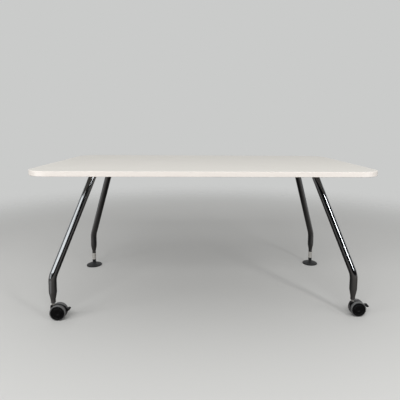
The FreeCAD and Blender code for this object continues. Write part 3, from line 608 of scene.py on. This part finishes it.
def rib_pedal(side, finish):
    """The grip ribs, moulded on the sloping top of the brake pedal."""
    mesh = bmesh.new()
    slope = Matrix.Rotation(math.atan2(PEDAL_DROP, PEDAL_LENGTH), 3, "Y")
    for number in range(PEDAL_RIBS):
        rib = bmesh.ops.create_cube(mesh, size=1.0)["verts"]
        bmesh.ops.scale(mesh, vec=RIB_SIZE, verts=rib)
        along = (number + 1) / (PEDAL_RIBS + 1)
        height = PEDAL_TOP - PEDAL_DROP * along
        bmesh.ops.rotate(mesh, cent=(0, 0, 0), matrix=slope, verts=rib)
        place = (FOOT_X * SIDES[side] + PEDAL_FRONT + PEDAL_LENGTH * along, -FOOT_Y, height)
        bmesh.ops.translate(mesh, vec=place, verts=rib)
    soften(mesh, RIB_SOFTENING)
    set_down(f"{side}_pedal_ribs", mesh, finish, "black_nylon", f"{side}_brake")


# The studio

FLOOR_RADIUS = 4.2


def make_floor():
    """A plain pale floor that fades into the background.

    In the chrome it is dark, with painted shade that is darkest under the desk, and lighter far to the sides
    and behind.
    """
    finish, tree, surface, place = new_finish("pale_floor", {"Roughness": 0.9, "Specular IOR Level": 0.1})
    reach = add(tree, "ShaderNodeVectorMath", {"operation": "LENGTH"}, {"Vector": place})
    # Painted shade: the floor's tone in the chrome is darkest near the middle, under the desk, for the
    # desk's shadow.
    painted_shade = add(tree, "ShaderNodeMapRange", {"From Min": 0.3, "From Max": 0.9},
                {"Value": reach.outputs["Value"]})
    dark = add(tree, "ShaderNodeValToRGB", links={"Fac": painted_shade.outputs["Result"]})
    dark.color_ramp.elements[0].color = linear("#191817")
    dark.color_ramp.elements[1].color = linear("#4a4643")
    split = add(tree, "ShaderNodeSeparateXYZ", links={"Vector": place})
    aside = add(tree, "ShaderNodeMath", {"operation": "ABSOLUTE"}, {0: split.outputs["X"]})
    beyond = add(tree, "ShaderNodeMath", {"operation": "ADD"},
                 {0: aside.outputs["Value"], 1: split.outputs["Y"]})
    behind = add(tree, "ShaderNodeMapRange", {"From Min": 1.1, "From Max": 2.2},
                 {"Value": beyond.outputs["Value"]})
    mirrored = add(tree, "ShaderNodeMixRGB", {"Color2": linear("#827f7d")},
                   {"Fac": behind.outputs["Result"], "Color1": dark.outputs["Color"]})
    ray = add(tree, "ShaderNodeLightPath").outputs["Is Camera Ray"]
    tone = add(tree, "ShaderNodeMixRGB", {"Color2": linear("#c8c8c6")},
               {"Fac": ray, "Color1": mirrored.outputs["Color"]})
    tree.links.new(tone.outputs["Color"], surface.inputs["Base Color"])
    fading = {"From Min": 1.6, "From Max": 4.0, "interpolation_type": "SMOOTHERSTEP"}
    fade = add(tree, "ShaderNodeMapRange", fading, {"Value": reach.outputs["Value"]})
    clear = add(tree, "ShaderNodeBsdfTransparent")
    blend = add(tree, "ShaderNodeMixShader", links={"Fac": fade.outputs["Result"]})
    tree.links.new(surface.outputs["BSDF"], blend.inputs[1])
    tree.links.new(clear.outputs["BSDF"], blend.inputs[2])
    tree.links.new(blend.outputs["Shader"], tree.nodes["Material Output"].inputs["Surface"])
    mesh = bmesh.new()
    bmesh.ops.create_circle(mesh, cap_ends=True, segments=96, radius=FLOOR_RADIUS)
    data = bpy.data.meshes.new("floor")
    mesh.to_mesh(data)
    mesh.free()
    data.materials.append(finish)
    floor = bpy.data.objects.new("floor", data)
    bpy.context.scene.collection.objects.link(floor)


def make_background():
    """A plain pale background. In reflections it is dark in front, pale behind and bright above."""
    world = bpy.data.worlds.new("studio")
    bpy.context.scene.world = world
    world.use_nodes = True
    tree = world.node_tree
    tree.nodes.clear()
    direction = add(tree, "ShaderNodeTexCoord").outputs["Generated"]
    split = add(tree, "ShaderNodeSeparateXYZ", links={"Vector": direction})
    level = add(tree, "ShaderNodeMapRange",
                {"From Min": -0.1, "From Max": 0.5, "To Min": 0.005, "To Max": 0.5},
                {"Value": split.outputs["Y"]})
    overhead = add(tree, "ShaderNodeMapRange", {"From Min": 0.45, "From Max": 0.75},
                   {"Value": split.outputs["Z"]})
    above = add(tree, "ShaderNodeMapRange", {"To Max": 0.72}, {"Value": overhead.outputs["Result"]})
    tree.links.new(level.outputs["Result"], above.inputs["To Min"])
    below = add(tree, "ShaderNodeMapRange",
                {"From Min": -0.1, "From Max": 0.5, "To Min": 0.06, "To Max": 0.2},
                {"Value": split.outputs["Y"]})
    horizon = add(tree, "ShaderNodeMapRange", {"From Min": -0.08, "From Max": -0.02},
                  {"Value": split.outputs["Z"]})
    tree.links.new(below.outputs["Result"], horizon.inputs["To Min"])
    tree.links.new(above.outputs["Result"], horizon.inputs["To Max"])
    mirrored = add(tree, "ShaderNodeBackground", links={"Color": horizon.outputs["Result"]})
    plain = add(tree, "ShaderNodeBackground", {"Color": linear("#cacbca")})
    ray = add(tree, "ShaderNodeLightPath").outputs["Is Camera Ray"]
    mix = add(tree, "ShaderNodeMixShader", links={"Fac": ray})
    tree.links.new(mirrored.outputs["Background"], mix.inputs[1])
    tree.links.new(plain.outputs["Background"], mix.inputs[2])
    add(tree, "ShaderNodeOutputWorld", links={"Surface": mix.outputs["Shader"]})


def soft_box(name, place, target, width, height, watts):
    """A soft box aimed at a point."""
    light = bpy.data.lights.new(name, "AREA")
    light.shape = "RECTANGLE"
    light.size = width
    light.size_y = height
    light.energy = watts
    box = bpy.data.objects.new(name, light)
    bpy.context.scene.collection.objects.link(box)
    box.location = place
    box.rotation_euler = (Vector(target) - Vector(place)).to_track_quat("-Z", "Y").to_euler()
    box.visible_camera = False
    return box


def link_chrome(box, state, corners=CORNERS):
    """Let a soft box light these chromed legs alone, or everything but them."""
    legs = bpy.data.collections.new(f"{box.name}_legs")
    for corner in corners:
        legs.objects.link(bpy.data.objects[f"{corner}_bent_leg"])
    for leg in legs.collection_objects:
        leg.light_linking.link_state = state
    box.light_linking.receiver_collection = legs


def make_lights():
    """A light over the camera, a fill at each side, and the panels and strips that the chrome mirrors."""
    left = ["front_left", "rear_left"]
    right = ["front_right", "rear_right"]
    soft_box("front_light", (-0.4, -3.1, 2.75), (0, 0, 0.6), 3.0, 0.9, 68)
    left_panel = soft_box("left_panel", (-2.44, -2.39, 1.45), (-0.5, -0.2, 0.6), 3.4, 1.2, 15)
    link_chrome(left_panel, "EXCLUDE", right)
    soft_box("right_strip", (1.8, -2.3, 1.7), (0.4, 0, 0.5), 0.3, 1.7, 20)
    front_panel = soft_box("front_panel", (-0.9, -3.2, 1.1), (-0.7, -0.3, 0.4), 1.45, 0.6, 2)
    link_chrome(front_panel, "INCLUDE", left)
    low_panel = soft_box("low_panel", (-2.3, -1.27, 0.3), (-0.7, -0.3, 0.3), 1.5, 0.58, 1.5)
    link_chrome(low_panel, "INCLUDE", left)
    floor_panel = soft_box("floor_panel", (-1.13, -0.7, 0.002), (-1.13, -0.7, 1), 0.58, 0.6, 0.12)
    link_chrome(floor_panel, "INCLUDE", ["front_left"])
    left_fill = soft_box("left_fill", (-2.6, -1.7, 0.9), (-0.7, -0.4, 0.7), 1.4, 1.0, 21)
    link_chrome(left_fill, "EXCLUDE")
    right_fill = soft_box("right_fill", (2.6, -1.7, 0.9), (0.7, -0.4, 0.7), 1.4, 1.0, 14)
    link_chrome(right_fill, "EXCLUDE")
    back_left_strip = soft_box("back_left_strip", (-1.9, 2.7, 1.4), (-0.5, 0, 0.5), 0.35, 1.9, 10)
    link_chrome(back_left_strip, "INCLUDE")
    back_right_strip = soft_box("back_right_strip", (1.6, 2.9, 1.4), (0.4, 0, 0.5), 0.35, 1.9, 10)
    link_chrome(back_right_strip, "INCLUDE")


def make_camera():
    """The photograph's camera: place, direction, lens and framing from the fit to the desk's edges."""
    data = bpy.data.cameras.new("camera")
    data.sensor_width = 36
    data.lens = 33.27
    data.shift_x = -0.0323
    data.shift_y = -0.0864
    camera = bpy.data.objects.new("camera", data)
    bpy.context.scene.collection.objects.link(camera)
    yaw = Matrix.Rotation(math.radians(-2.313), 4, "Z")
    pitch = Matrix.Rotation(math.radians(90 - 6.079), 4, "X")
    roll = Matrix.Rotation(math.radians(0.428), 4, "Z")
    place = Matrix.Translation((-0.0375, -2.0454, 0.918))
    camera.matrix_world = place @ yaw @ pitch @ roll
    bpy.context.scene.camera = camera


def main():
    """Dress the frame, add the scene's own pieces, and set up the studio and the camera."""
    bpy.context.scene.view_settings.view_transform = "Standard"
    finishes = make_finishes()
    dress_nodes(finishes)
    for corner in CORNERS:
        bend_leg(corner, finishes["chromed_tube"])
    drop_screws(finishes["zinc_steel"])
    drive_clamp_screws(finishes["zinc_steel"])
    for side in SIDES:
        mould_wheel(side, "front", -1, finishes["black_nylon"])
        mould_wheel(side, "back", 1, finishes["black_nylon"])
        rib_pedal(side, finishes["black_nylon"])
        cut_stud(side, finishes["zinc_steel"])
    make_floor()
    make_background()
    make_lights()
    make_camera()


main()
